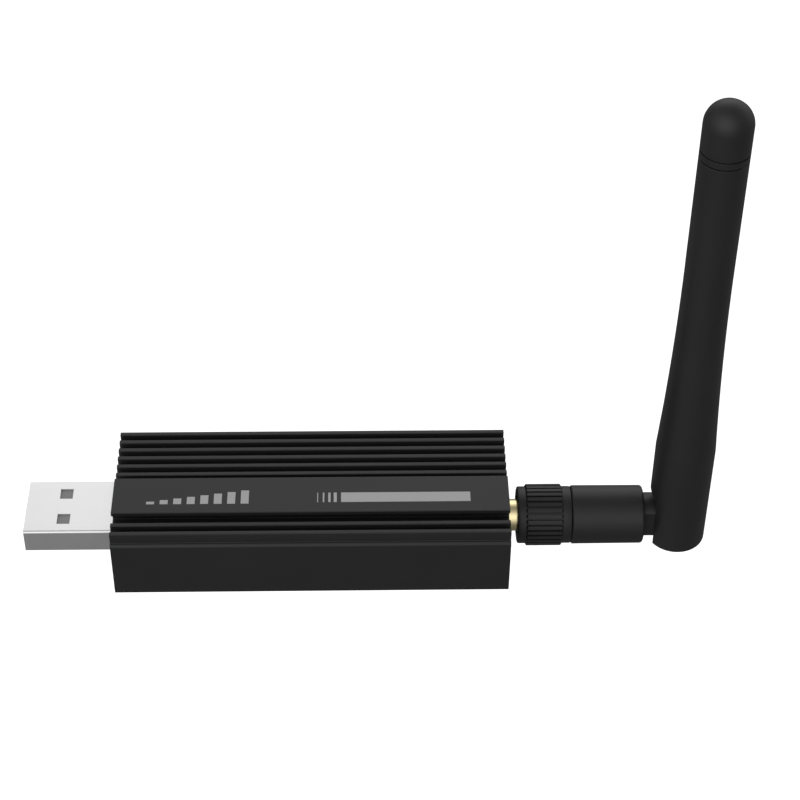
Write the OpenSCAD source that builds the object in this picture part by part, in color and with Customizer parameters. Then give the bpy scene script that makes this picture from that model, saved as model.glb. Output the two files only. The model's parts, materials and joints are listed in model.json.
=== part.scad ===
// USB radio stick with a finned metal housing, a USB-A plug and a tilting, turning whip antenna.
// Lengths are in millimetres. The origin is the middle of the housing's flat underside,
// +X runs along the stick to the antenna, +Y goes to the back and +Z up.

/* [Housing] */
// Length of the housing
housing_l = 65; // [58:0.5:100]
// Height of the housing at its fin tops
housing_h = 12.9; // [12.5:0.1:16]
// Distance from one fin to the next
fin_pitch = 1.967; // [1.9:0.01:2.4]
// Thickness of a fin
fin_t = 0.82; // [0.5:0.02:1.1]
// Depth of the grooves between the fins
groove_d = 2.1; // [1.2:0.1:2.3]
// Height of the step in the sides
ledge_z = 11; // [9:0.05:12]
// Width of the step in the sides
ledge_w = 0.64; // [0.3:0.02:1.2]
// Chamfer along the edge of the step
ledge_chamfer = 0.39; // [0.1:0.01:0.6]
// Thickness of the side walls
wall_t = 1.5; // [1.3:0.1:2.2]
// Thickness of the floor
floor_t = 1.4; // [1:0.1:1.6]
// Thickness of the roof under the grooves
roof_t = 1.3; // [1:0.1:1.6]

/* [Label land] */
// Width of the raised flat land
land_w = 8.17; // [7:0.1:9]
// Thickness of the land above the fin tops
land_t = 0.78; // [0.5:0.02:1.5]
// How far the land overhangs its stem on each side
land_overhang = 1.6; // [0.5:0.1:2.4]

/* [End plates and screws] */
// Thickness of the end plates
plate_t = 1; // [0.9:0.1:1.5]
// How far the plates lie behind the housing's ends
plate_recess = 0.2; // [0.1:0.05:0.6]
// Rim of the housing left round each plate
plate_rim = 0.9; // [0.6:0.05:1.1]
// Play all round a plate in its seat
plate_gap = 0.08; // [0.02:0.01:0.15]
// Corner radius of the plates
plate_corner_r = 0.8; // [0.3:0.1:1.5]
// Radius of a screw's head
head_r = 1.7; // [1.5:0.05:1.9]
// Depth of the countersunk head
head_h = 0.8; // [0.5:0.05:0.85]
// Radius of a screw's shank
screw_r = 0.88; // [0.7:0.02:1]
// Length of a screw under its head
screw_l = 6; // [4:0.5:9]
// Radius of the screw channels in the housing
port_r = 1.7; // [1.5:0.05:1.85]
// Radial play of a screw in its channel
screw_play = 0.03; // [0.02:0.01:0.08]

/* [USB plug] */
// Height of the plug's and the socket's middle above the underside
axis_z = 5.2; // [5.2:0.05:5.8]
// Width of the plug's shell
plug_w = 12; // [11.8:0.05:12.2]
// Height of the plug's shell
plug_h = 4.5; // [4.4:0.05:4.6]
// Length of the plug outside the housing
plug_out = 15.1; // [12:0.1:19]
// Length of the plug inside the housing
plug_in = 4.5; // [4:0.1:7]
// Sheet thickness of the shell
shell_t = 0.3; // [0.25:0.01:0.35]
// Outer corner radius of the shell
shell_r = 0.4; // [0.3:0.02:0.6]
// Length of a latch hole along the plug
latch_l = 2.1; // [1.8:0.1:2.6]
// Width of a latch hole
latch_w = 2.3; // [1.8:0.1:2.6]
// Distance from the plug's mouth to the middle of the latch holes
latch_x = 6.38; // [4:0.1:8]
// Distance between the two latch holes of a side
latch_pitch = 5.9; // [5:0.1:7]
// Thickness of the insulating tongue under the shell's upper wall
tongue_t = 1.84; // [1.7:0.02:1.95]
// Width of a contact strip
contact_w = 1; // [0.8:0.05:1.2]
// Thickness of a contact strip
contact_t = 0.2; // [0.15:0.01:0.25]
// Play round the plug in its plate
plug_gap = 0.12; // [0.05:0.01:0.25]

/* [Circuit board] */
// Thickness of the board
board_t = 1.6; // [1:0.1:1.6]
// How far the board reaches into the slots of the side walls
slot_d = 0.7; // [0.4:0.05:0.8]
// Play of the board in its slots
slot_gap = 0.1; // [0.05:0.01:0.2]
// Side of the radio chip
radio_w = 7; // [5:0.5:8]
// Height of the radio chip
radio_h = 0.9; // [0.7:0.05:1.2]
// Length of the screening can
can_l = 15; // [12:0.5:18]
// Width of the screening can
can_w = 12.5; // [10:0.5:14]
// Height of the screening can
can_h = 2.4; // [1.8:0.1:3]
// Sheet thickness of the screening can
can_t = 0.2; // [0.15:0.01:0.3]
// Side of the bridge chip
bridge_w = 5; // [4:0.5:6]

/* [Antenna socket] */
// Sideways place of the socket, off the middle of the housing
jack_y = -0.6; // [-2:0.1:2]
// Radius of the relief neck that shows outside
neck_r = 2.67; // [2.5:0.01:2.8]
// Radius of the threaded barrel
barrel_r = 3.175; // [3.1:0.005:3.25]
// How far the socket reaches out of the housing
jack_out = 8; // [7.5:0.1:9]
// Side of the square flange behind the plate
flange_w = 6.3; // [5.8:0.1:6.5]
// Thickness of the flange
flange_t = 1.6; // [1.2:0.1:2]
// Radius of the centre contact
contact_r = 0.635; // [0.6:0.005:0.7]
// Radius of the contact's tail, which lies on the board
tail_r = 0.4; // [0.3:0.02:0.45]
// Radius of the mating pin
pin_r = 0.46; // [0.45:0.005:0.47]

/* [Coupling nut] */
// Gap from the housing to the nut, where the socket's neck shows
nut_gap = 1.8; // [0.8:0.1:1.8]
// Length of the nut
nut_l = 8.9; // [8.9:0.1:11]
// Radius of the plain ends of the nut
nut_r = 4.78; // [4.5:0.02:5]
// Radius over the grip ribs
rib_r = 5.16; // [5.1:0.02:5.19]
// Number of grip ribs
rib_count = 32; // [20:1:40]
// Distance from the nut's front to the ribs
rib_x = 1.3; // [1:0.1:1.9]
// Length of the ribs
rib_l = 6.2; // [4:0.1:6.6]
// Width of the grooves between the ribs
rib_gap = 0.32; // [0.2:0.02:0.45]
// Radius of the nut's threaded bore
nut_bore_r = 3.23; // [3.2:0.005:3.3]

/* [Antenna foot] */
// Radial running play of the turned pieces
run_gap = 0.05; // [0.03:0.01:0.07]
// Length of the sleeve from the nut to its shoulder
sleeve_l = 12; // [11.5:0.1:14]
// Radius of the sleeve at the nut
sleeve_r = 4.91; // [4.7:0.01:5]
// Radius of the sleeve at its shoulder
sleeve_end_r = 4.87; // [4.6:0.01:4.9]
// Radius of the round edge of the shoulder
sleeve_edge_r = 0.45; // [0.2:0.05:0.6]
// Radius of the hinge neck
hinge_neck_r = 3.655; // [3.5:0.01:3.7]
// Width of the neck across its two flats
hinge_neck_w = 5.2; // [4.6:0.1:5.3]
// Distance from the sleeve's shoulder to the tilt axis
pivot_x = 6; // [6:0.05:7]
// Radius of the hinge studs
stud_r = 1.3; // [1:0.05:1.5]
// Height of the hinge studs above the flats
stud_h = 0.9; // [0.6:0.05:1.1]
// Radius of the ferrule's neck
ferrule_r = 2.65; // [2.5:0.01:2.7]
// Radius of the feed cable
cable_r = 0.55; // [0.4:0.01:0.6]

/* [Whip] */
// Length of the whip above the tilt axis
whip_l = 82.8; // [70:0.1:120]
// Distance from the tilt axis down to the whip's flat foot
whip_foot = 4.5; // [4.3:0.05:4.6]
// Radius of the thick foot
foot_r = 4.9; // [4.8:0.01:5]
// Radius of the round edge under the foot
foot_edge_r = 0.35; // [0.3:0.05:0.6]
// Height of the thick foot above the tilt axis
foot_h = 15.65; // [12:0.1:20]
// Radius of the slim shaft
shaft_r = 3.78; // [3.6:0.01:4]
// Height above the tilt axis where the flare runs out
flare_h = 53.1; // [40:0.5:60]
// Depth of the flat that faces the sleeve
seat_d = 0.8; // [0.6:0.05:0.9]
// Height of that flat above the tilt axis
seat_h = 5.1; // [4.5:0.1:6]
// Play of the hinge neck in the fork
fork_gap = 0.1; // [0.08:0.01:0.12]
// Radius of the hollow that holds the radiator
hollow_r = 2.5; // [2:0.1:2.7]
// Height of the hollow's floor above the tilt axis
hollow_z = 8.3; // [6:0.1:12]
// Length of the domed cap down to its seam
cap_l = 9.5; // [7:0.1:12]
// Distance from the cap's seam to its ring groove
ring_z = 1.4; // [1:0.1:2]
// Width and depth of the fine rings
ring_d = 0.14; // [0.08:0.01:0.2]
// Length of the cap's spigot
spigot_l = 4; // [2:0.5:6]
// Length of the brass sleeve
brass_l = 26; // [20:0.5:30]
// Radius of the brass sleeve
brass_r = 2.35; // [1.8:0.05:2.4]
// Wall of the brass sleeve
brass_t = 0.3; // [0.2:0.05:0.4]
// Distance from the cap's spigot down to the end of the upper radiator rod
rod_gap = 7; // [2:0.5:12]
// Radius of the upper radiator rod
rod_r = 0.4; // [0.3:0.02:0.5]

/* [Hidden] */

round_fn = 64;
touch = 0.02;
over = 0.5;

// Housing section, fin rows are counted from the middle
last_row = 6;
land_row = -2;
fin_rows = [-6, -5, 1, 2, 3, 4, 5, 6];
upper_half_w = last_row * fin_pitch + fin_t / 2;
lower_half_w = upper_half_w + ledge_w;
ledge_cut = min(ledge_chamfer, 0.65 * ledge_w);
groove_z = housing_h - groove_d;
land_y = land_row * fin_pitch;
stem_w = land_w - 2 * land_overhang;
cavity_half_w = lower_half_w - wall_t;
cavity_top = groove_z - roof_t;
end_x = housing_l / 2;
pocket_d = plate_t + plate_recess;
pocket_half_w = lower_half_w - plate_rim;
seat_lap = 0.5;
pocket_z0 = floor_t - seat_lap;
pocket_z1 = cavity_top + seat_lap;
plate_x = end_x - pocket_d;

// Screw channels in the two upper corners
port_web = 0.2;
port_side = port_r + port_web;
port_y = cavity_half_w - port_side;
port_z = cavity_top - port_side;
port_hole_r = screw_r + screw_play;
cross_l = 1.2 * head_r;
cross_w = 0.4;
cross_d = 0.5 * head_h;

// Board
board_top = axis_z - tail_r;
board_z = board_top - board_t;
board_half_w = cavity_half_w + slot_d - slot_gap;
board_x0 = -plate_x + slot_gap;
board_x1 = plate_x - flange_t - slot_gap;

// Board components, each place is [x, y] of its middle
radio_at = [12, -0.5];
bridge_at = [-16, 0];
bridge_h = 0.85;
regulator_at = [-21, 4.4];
regulator_size = [2.9, 1.6, 1.1];
lead_w = 0.4;
lead_l = 0.9;
lead_pitch = 0.95;
crystal_at = [[0, 4.9], [-9.5, 3.6]];
crystal_size = [3.2, 2.5, 0.8];
led_at = [[-25, -7], [-25, 7]];
led_size = [1.6, 0.8, 0.6];
can_hole_r = 0.45;
mark_d = 0.05;

// Rows of small parts, each with its first place, how many there are, their distance and length
passive_rows = [[[-10, -4.6], 5, 2.3, 1.6], [[-21, -6.9], 5, 2.3, 1.6], [[22, -3.4], 3, 2, 0.6]];
passive_w = 1;
passive_h = 0.5;

// Plug
mouth_x = -end_x - plug_out;
plug_back_x = -end_x + plug_in;
plug_z = axis_z - plug_h / 2;
bore_w = plug_w - 2 * shell_t;
bore_z0 = plug_z + shell_t;
bore_z1 = plug_z + plug_h - shell_t;
bore_r = max(shell_r - shell_t, 0.1);
block_d = 1;
tongue_x = mouth_x + shell_t;
tongue_half_w = bore_w / 2 - bore_r;
tongue_z = bore_z1 - tongue_t;
contact_z = tongue_z - 0.25 * contact_t;
block_x = -end_x + block_d;
outer_contacts = 3.5;
inner_contacts = 1;
outer_reach = 1.2;
inner_reach = 2.2;
contact_rows = [-outer_contacts, -inner_contacts, inner_contacts, outer_contacts];
tail_l = 1.6;
wing_l = 1.4;
wing_w = 1.4;
wing_inset = 0.5;
wing_x = board_x0 + wing_inset;
lead_gap = 0.1;

// Socket stations along its axis
jack_end_x = end_x + jack_out;
relief_l = 3.2;
relief_end_x = plate_x + relief_l;
mate_d = 1.9;
mate_x = jack_end_x - mate_d;
thread_chamfer = 0.3;
mate_bore_r = 2.3;
insulator_r = 2.05;
foot_wall = 0.3;
foot_seat = 0.5;
contact_x0 = plate_x - flange_t + foot_wall + foot_seat;
tail_play = 0.35;
pin_play = 0.03;
pin_bore_l = 4;
tail_len = 2.8;
leg_w = 1.1;
leg_h = 0.8;
leg_l = 3;
leg_y = flange_w / 2 - leg_w / 2;

// Nut stations
nut_x0 = end_x + nut_gap;
nut_x1 = nut_x0 + nut_l;
back_wall = 1.05;
ring_t = 0.5;
ring_split = 1;
ring_bite = 0.22;
ring_r = nut_bore_r + ring_bite;
ring_x0 = nut_x1 - back_wall - ring_t - run_gap;
back_hole_r = ferrule_r + 2 * run_gap;

// Ferrule and foot stations
foot_gap = 0.12;
foot_x0 = nut_x1 + foot_gap;
shoulder_x = foot_x0 + sleeve_l;
hinge_x = shoulder_x + pivot_x;
collar_inset = 1;
collar_x = foot_x0 + collar_inset;
collar_t = 1.3;
collar_h = 0.6;
collar_r = ferrule_r + collar_h;
ferrule_tail = 6.5;
ferrule_end_x = foot_x0 + ferrule_tail;
crimp_l = 2.7;
insulator_end_x = ferrule_end_x - crimp_l;
pin_step = 0.4;
mating_l = 3;
sleeve_chamfer = 0.2;
ferrule_flange_r = nut_bore_r - run_gap;
cable_play = 0.2;
bend_gap = 0.1;
cable_end = cable_r + bend_gap;
cable_slot = cable_r + cable_play;

// Whip stations above the hinge axis
slot_half_w = hinge_neck_w / 2 + fork_gap;
slot_r = hinge_neck_r + 1.5 * fork_gap;
seam_z = whip_l - cap_l;
flare_steps = 14;
flare_r = (pow(flare_h - foot_h, 2) + pow(foot_r - shaft_r, 2)) / (2 * (foot_r - shaft_r));
dome_steps = 12;
cap_gap = 0.04;
slope_lap = 0.1;
spigot_chamfer = 0.3;
spacer_drop = 1;
brass_top = hollow_z + brass_l;
spacer_h = 4;
rod_top = seam_z - spigot_l - rod_gap;

// Flat shape with round corners, centred on the origin
module rounded(w, h, r) {
    square([w - 2 * r, h], center = true);
    square([w, h - 2 * r], center = true);
    for (sx = [-1, 1], sy = [-1, 1])
        translate([sx * (w / 2 - r), sy * (h / 2 - r)]) circle(r = r, $fn = round_fn);
}

// Bar from x0 to x1 with a section drawn across the stick, y to the right and z up
module bar(x0, x1) {
    translate([x0, 0, 0]) rotate([90, 0, 90]) linear_extrude(x1 - x0) children();
}

// Box given by its lowest and highest corners
module block(low, high) {
    translate(low) cube(high - low);
}

// Turned shape on the antenna's axis, from [station, radius] points
module turned(profile) {
    translate([0, jack_y, axis_z]) rotate([0, 90, 0]) rotate_extrude($fn = round_fn)
        polygon([for (p = profile) [p[1], p[0]]]);
}

// Turned shape on the upright whip's axis, from [radius, height above the hinge] points
module whip_turned(profile) {
    translate([hinge_x, jack_y, axis_z]) rotate_extrude($fn = round_fn) polygon(profile);
}

// Round bar across the hinge
module hinge_pin(r, half_l) {
    translate([hinge_x, jack_y, axis_z]) rotate([90, 0, 0])
        cylinder(r = r, h = 2 * half_l, center = true, $fn = round_fn);
}

module land_section() {
    translate([land_y - land_w / 2, housing_h]) square([land_w, land_t]);
    translate([land_y - stem_w / 2, groove_z - touch]) square([stem_w, groove_d + 2 * touch]);
}

module fin_section() {
    for (row = fin_rows)
        translate([row * fin_pitch - fin_t / 2, groove_z - touch]) square([fin_t, groove_d + touch]);
}

// Side walls that stand out under the fins and end in the chamfered step
module side_section() {
    root_y = upper_half_w - fin_t / 2;
    root_z = min(groove_z, ledge_z) - touch;
    edge_y = lower_half_w - ledge_cut;
    polygon([[-lower_half_w, 0], [lower_half_w, 0], [lower_half_w, ledge_z - ledge_cut],
        [edge_y, ledge_z], [root_y, ledge_z], [root_y, root_z], [-root_y, root_z],
        [-root_y, ledge_z], [-edge_y, ledge_z], [-lower_half_w, ledge_z - ledge_cut]]);
}

module shell_section() {
    difference() {
        union() {
            translate([-upper_half_w, 0]) square([2 * upper_half_w, groove_z]);
            side_section();
        }
        translate([-cavity_half_w, floor_t]) square([2 * cavity_half_w, cavity_top - floor_t]);
    }
}

module board_room() {
    translate([-cavity_half_w - slot_d, board_z - slot_gap])
        square([2 * (cavity_half_w + slot_d), board_t + 2 * slot_gap]);
}

module port_section() {
    for (side = [-1, 1]) scale([side, 1]) difference() {
        union() {
            translate([port_y, port_z]) circle(r = port_r, $fn = round_fn);
            translate([port_y - port_r, port_z]) square([port_r + port_side + touch, port_side + touch]);
            translate([port_y, port_z - port_r]) square([port_side + touch, port_side + port_r + touch]);
        }
        translate([port_y, port_z]) circle(r = port_hole_r, $fn = round_fn);
    }
}

module plate_outline(gap) {
    translate([0, (pocket_z0 + pocket_z1) / 2])
        rounded(2 * (pocket_half_w - gap), pocket_z1 - pocket_z0 - 2 * gap, plate_corner_r);
}

module housing() {
    color("#2b2c2e") difference() {
        bar(-end_x, end_x) {
            difference() {
                union() {
                    shell_section();
                    port_section();
                }
                board_room();
            }
            fin_section();
            land_section();
        }
        for (side = [-1, 1]) scale([side, 1, 1])
            bar(plate_x, end_x + over) plate_outline(0);
    }
}

// Countersunk screw along +X with its head's face at x = 0
module screw(play) {
    rotate([0, 90, 0]) {
        translate([0, 0, -head_h])
            cylinder(r1 = screw_r + play, r2 = head_r + play, h = head_h, $fn = round_fn);
        translate([0, 0, -head_h - screw_l])
            cylinder(r = screw_r + play, h = screw_l + touch, $fn = round_fn);
    }
}

module screw_pair(play) {
    for (side = [-1, 1])
        translate([end_x - plate_recess, side * port_y, port_z]) screw(play);
}

module driven_screws() {
    difference() {
        screw_pair(0);
        for (side = [-1, 1], turn = [0, 90])
            translate([end_x - plate_recess, side * port_y, port_z]) rotate([turn, 0, 0])
                cube([2 * cross_d, cross_l, cross_w], center = true);
    }
}

module end_plate() {
    difference() {
        bar(plate_x, end_x - plate_recess) plate_outline(plate_gap);
        screw_pair(plate_gap);
        children();
    }
}

module usb_end_plate() {
    color("#1d1e20") mirror([1, 0, 0]) end_plate()
        bar(plate_x - over, end_x + over) translate([0, axis_z])
            rounded(plug_w + 2 * plug_gap, plug_h + 2 * plug_gap, shell_r + plug_gap);
}

module antenna_end_plate() {
    color("#1d1e20") end_plate()
        turned([[plate_x - over, 0], [plate_x - over, barrel_r + plug_gap],
            [end_x + over, barrel_r + plug_gap], [end_x + over, 0]]);
}

module usb_end_screws() {
    color("#3a3b3d") mirror([1, 0, 0]) driven_screws();
}

module antenna_end_screws() {
    color("#3a3b3d") driven_screws();
}

module usb_shell() {
    color("#c9cbce") difference() {
        union() {
            bar(mouth_x, plug_back_x) translate([0, axis_z]) rounded(plug_w, plug_h, shell_r);
            for (side = [-1, 1])
                translate([wing_x + wing_l / 2, side * (plug_w + wing_w - shell_t) / 2,
                    board_top + shell_t / 2])
                    cube([wing_l, wing_w + shell_t, shell_t], center = true);
        }
        bar(mouth_x - over, plug_back_x + over) translate([0, axis_z])
            rounded(bore_w, plug_h - 2 * shell_t, bore_r);
        for (side = [-1, 1])
            translate([mouth_x + latch_x, side * latch_pitch / 2, axis_z])
                cube([latch_l, latch_w, 2 * plug_h], center = true);
    }
}

// Room or metal of the contact strips, grown by a gap all round
module strips(gap) {
    for (y = contact_rows) {
        reach = abs(y) == outer_contacts ? outer_reach : inner_reach;
        block([mouth_x + reach - gap, y - contact_w / 2 - gap, contact_z - gap],
            [plug_back_x + contact_t + lead_gap, y + contact_w / 2 + gap, contact_z + contact_t + gap]);
    }
}

module usb_tongue() {
    color("#7c7d80") difference() {
        union() {
            block([tongue_x, -tongue_half_w, tongue_z], [plug_back_x - touch, tongue_half_w, bore_z1]);
            block([block_x, -tongue_half_w, bore_z0], [plug_back_x - touch, tongue_half_w, bore_z1]);
        }
        strips(touch);
    }
}

module usb_contacts() {
    color("#d9b45a") {
        strips(0);
        for (y = contact_rows) {
            block([plug_back_x + lead_gap, y - contact_w / 2, board_top],
                [plug_back_x + lead_gap + contact_t, y + contact_w / 2, contact_z + contact_t]);
            block([plug_back_x + lead_gap, y - contact_w / 2, board_top],
                [plug_back_x + lead_gap + tail_l, y + contact_w / 2, board_top + contact_t]);
        }
    }
}

module circuit_board() {
    color("#16361f") difference() {
        block([board_x0, -board_half_w, board_z], [board_x1, board_half_w, board_top]);
        block([board_x0 - over, -plug_w / 2 - slot_gap, board_z - over],
            [plug_back_x + slot_gap, plug_w / 2 + slot_gap, board_top + over]);
    }
}

// Chip with its marked corner, standing on the board
module chip(at, size) {
    translate([at.x - size.x / 2, at.y - size.y / 2, board_top]) difference() {
        cube(size);
        translate([0.18 * size.x, 0.8 * size.y, size.z - mark_d])
            cylinder(r = 0.06 * size.x, h = over, $fn = round_fn);
    }
}

// Plain box standing on the board
module component(at, size) {
    translate([at.x, at.y, board_top + size.z / 2]) cube(size, center = true);
}

module radio_chip() {
    color("#17181a") chip(radio_at, [radio_w, radio_w, radio_h]);
}

module shield_can() {
    color("#b9bcc0") translate([radio_at.x, radio_at.y, board_top]) difference() {
        translate([-can_l / 2, -can_w / 2, 0]) cube([can_l, can_w, can_h]);
        translate([can_t - can_l / 2, can_t - can_w / 2, -over])
            cube([can_l - 2 * can_t, can_w - 2 * can_t, can_h - can_t + over]);
        for (column = [-2:2], row = [-1:1])
            translate([column * can_l / 6, row * can_w / 4, 0])
                cylinder(r = can_hole_r, h = can_h + over, $fn = round_fn);
    }
}

module usb_bridge_chip() {
    color("#17181a") chip(bridge_at, [bridge_w, bridge_w, bridge_h]);
}

module voltage_regulator() {
    lead_y = (regulator_size.y + lead_l) / 2 - lead_w / 4;
    color("#1a1b1d") chip(regulator_at, regulator_size);
    color("#c9cbce") for (column = [-1:1], side = [-1, 1])
        component(regulator_at + [column * lead_pitch, side * lead_y], [lead_w, lead_l, lead_w]);
}

module clock_crystals() {
    color("#c3c6c9") for (at = crystal_at) component(at, crystal_size);
}

module board_passives() {
    color("#a58a63") for (row = passive_rows, i = [0:row[1] - 1])
        component(row[0] + [i * row[2], 0], [passive_w, row[3], passive_h]);
}

module status_leds() {
    color("#e9edd8") for (at = led_at) component(at, led_size);
}

module antenna_jack() {
    color("#e0bd63") difference() {
        union() {
            block([plate_x - flange_t, jack_y - flange_w / 2, axis_z - flange_w / 2],
                [plate_x, jack_y + flange_w / 2, axis_z + flange_w / 2]);
            for (side = [-1, 1], z = [board_top, board_z - leg_h])
                block([plate_x - flange_t - leg_l, jack_y + side * leg_y - leg_w / 2, z],
                    [plate_x - flange_t + touch, jack_y + side * leg_y + leg_w / 2, z + leg_h]);
            turned([[plate_x - touch, 0], [plate_x - touch, neck_r], [relief_end_x, neck_r],
                [relief_end_x + thread_chamfer, barrel_r], [jack_end_x - thread_chamfer, barrel_r],
                [jack_end_x, barrel_r - thread_chamfer], [jack_end_x, 0]]);
        }
        turned([[plate_x - flange_t - over, 0], [plate_x - flange_t - over, tail_r + tail_play],
            [plate_x - flange_t + foot_wall, tail_r + tail_play],
            [plate_x - flange_t + foot_wall, insulator_r],
            [mate_x, insulator_r], [mate_x, mate_bore_r], [jack_end_x + over, mate_bore_r],
            [jack_end_x + over, 0]]);
    }
}

module jack_insulator() {
    color("#f1f0ea") turned([[plate_x - flange_t + foot_wall, tail_r + touch],
        [plate_x - flange_t + foot_wall, insulator_r - touch], [mate_x, insulator_r - touch],
        [mate_x, contact_r + touch], [contact_x0, contact_r + touch], [contact_x0, tail_r + touch]]);
}

module jack_contact() {
    pin_bore = pin_r + pin_play;
    color("#e0bd63") turned([[board_x1 - tail_len, 0], [board_x1 - tail_len, tail_r],
        [contact_x0, tail_r], [contact_x0, contact_r], [mate_x, contact_r], [mate_x, pin_bore],
        [mate_x - pin_bore_l, pin_bore], [mate_x - pin_bore_l, 0]]);
}

module coupling_nut() {
    edge = 0.25;
    rib_end = rib_x + rib_l;
    color("#242526") difference() {
        turned([[nut_x0, nut_bore_r + edge], [nut_x0, nut_r - edge], [nut_x0 + edge, nut_r],
            [nut_x0 + rib_x, nut_r], [nut_x0 + rib_x + edge, rib_r], [nut_x0 + rib_end - edge, rib_r],
            [nut_x0 + rib_end, nut_r], [nut_x1 - edge, nut_r], [nut_x1, nut_r - edge],
            [nut_x1, back_hole_r], [ring_x0 + ring_t + run_gap, back_hole_r],
            [ring_x0 + ring_t + run_gap, ring_r + run_gap], [ring_x0 - run_gap, ring_r + run_gap],
            [ring_x0 - run_gap, nut_bore_r], [nut_x0 + edge, nut_bore_r]]);
        for (i = [0:rib_count - 1])
            translate([0, jack_y, axis_z]) rotate([(i + 0.5) * 360 / rib_count, 0, 0])
                block([nut_x0 + rib_x - touch, -rib_gap / 2, nut_r - touch],
                    [nut_x0 + rib_end + touch, rib_gap / 2, rib_r + over]);
    }
}

module nut_ring() {
    color("#c9a24a") difference() {
        turned([[ring_x0, ferrule_r + run_gap], [ring_x0, ring_r], [ring_x0 + ring_t, ring_r],
            [ring_x0 + ring_t, ferrule_r + run_gap]]);
        block([ring_x0 - over, jack_y - ring_split / 2, axis_z],
            [ring_x0 + ring_t + over, jack_y + ring_split / 2, axis_z + 2 * ring_r]);
    }
}

module antenna_ferrule() {
    front_x = mate_x + run_gap;
    front_bore_r = insulator_r;
    color("#d9b45a") turned([[front_x, front_bore_r], [front_x, mate_bore_r - run_gap],
        [jack_end_x + run_gap, mate_bore_r - run_gap], [jack_end_x + run_gap, ferrule_flange_r],
        [ring_x0 - run_gap, ferrule_flange_r], [ring_x0 - run_gap, ferrule_r], [collar_x, ferrule_r],
        [collar_x, collar_r], [collar_x + collar_t, collar_r], [collar_x + collar_t, ferrule_r],
        [ferrule_end_x, ferrule_r], [ferrule_end_x, cable_slot],
        [insulator_end_x, cable_slot], [insulator_end_x, front_bore_r]]);
}

module ferrule_insulator() {
    color("#f1f0ea") turned([[mate_x + run_gap, pin_r + touch], [mate_x + run_gap, insulator_r - touch],
        [insulator_end_x, insulator_r - touch], [insulator_end_x, pin_r + touch]]);
}

module antenna_pin() {
    tip_x = mate_x - mating_l;
    color("#e0bd63") turned([[tip_x, 0], [tip_x, pin_r / 2], [tip_x + pin_step, pin_r],
        [insulator_end_x + pin_step, pin_r], [insulator_end_x + pin_step, 0]]);
}

// Rounded edge from the face at x to the outer radius r, turned about the antenna's axis
function round_edge(x, r, edge) = [for (i = [0:4]) let (a = i * 22.5)
    [x - edge + edge * sin(a), r - edge + edge * cos(a)]];

module swivel_base() {
    color("#1f2021") difference() {
        union() {
            turned(concat(
                [[foot_x0, 0], [foot_x0, sleeve_r - sleeve_chamfer], [foot_x0 + sleeve_chamfer, sleeve_r]],
                round_edge(shoulder_x, sleeve_end_r, sleeve_edge_r),
                [[shoulder_x, 0]]));
            intersection() {
                turned([[shoulder_x - touch, 0], [shoulder_x - touch, hinge_neck_r],
                    [hinge_x + hinge_neck_r, hinge_neck_r], [hinge_x + hinge_neck_r, 0]]);
                union() {
                    hinge_pin(hinge_neck_r, hinge_neck_w / 2);
                    block([shoulder_x - touch, jack_y - hinge_neck_w / 2, axis_z - hinge_neck_r],
                        [hinge_x, jack_y + hinge_neck_w / 2, axis_z + hinge_neck_r]);
                }
            }
            hinge_pin(stud_r, hinge_neck_w / 2 + stud_h);
        }
        turned([[foot_x0 - over, 0], [foot_x0 - over, ferrule_r + run_gap],
            [collar_x - run_gap, ferrule_r + run_gap], [collar_x - run_gap, collar_r + run_gap],
            [collar_x + collar_t + run_gap, collar_r + run_gap],
            [collar_x + collar_t + run_gap, ferrule_r + run_gap],
            [ferrule_end_x + run_gap, ferrule_r + run_gap],
            [ferrule_end_x + run_gap, cable_slot],
            [hinge_x, cable_slot], [hinge_x, 0]]);
        block([hinge_x - cable_slot, jack_y - cable_slot, axis_z - cable_slot],
            [hinge_x + 2 * hinge_neck_r, jack_y + cable_slot, axis_z + 2 * hinge_neck_r]);
    }
}

module feed_cable() {
    color("#8a6a3a") turned([[insulator_end_x + pin_step, 0], [insulator_end_x + pin_step, cable_r],
        [hinge_x - cable_end, cable_r], [hinge_x - cable_end, 0]]);
}

// Radius of the flare at a height between the foot and the slim shaft
function flare_at(z) = shaft_r + flare_r - sqrt(pow(flare_r, 2) - pow(flare_h - z, 2));

module whip_body() {
    edge = foot_edge_r;
    whip_turned(concat(
        [[0, -whip_foot]],
        [for (i = [0:4]) let (a = i * 22.5)
            [foot_r - edge + edge * sin(a), -whip_foot + edge - edge * cos(a)]],
        [for (i = [0:flare_steps]) let (z = foot_h + (flare_h - foot_h) * i / flare_steps)
            [flare_at(z), z]],
        [[shaft_r, seam_z - ring_d], [shaft_r - ring_d, seam_z], [0, seam_z]]));
}

module whip_sheath() {
    far = 2 * foot_r;
    color("#1f2021") difference() {
        whip_body();
        // Flat seat that faces the sleeve, with a sloping top
        translate([hinge_x, jack_y, axis_z]) rotate([90, 0, 0])
            linear_extrude(2 * far, center = true)
                polygon([[seat_d - foot_r, -far], [seat_d - foot_r, seat_h],
                    [-foot_r - slope_lap, seat_h + seat_d + slope_lap],
                    [-far, seat_h + seat_d + slope_lap], [-far, -far]]);
        // Fork slot, open towards the sleeve and under the foot
        hinge_pin(slot_r, slot_half_w);
        block([hinge_x - far, jack_y - slot_half_w, axis_z - far],
            [hinge_x, jack_y + slot_half_w, axis_z + slot_r]);
        block([hinge_x - over, jack_y - slot_half_w, axis_z - far],
            [hinge_x + slot_r, jack_y + slot_half_w, axis_z]);
        hinge_pin(stud_r + run_gap, hinge_neck_w / 2 + stud_h + run_gap);
        whip_turned([[0, 0], [cable_slot, 0], [cable_slot, hollow_z],
            [hollow_r, hollow_z], [hollow_r, whip_l], [0, whip_l]]);
    }
}

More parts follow.
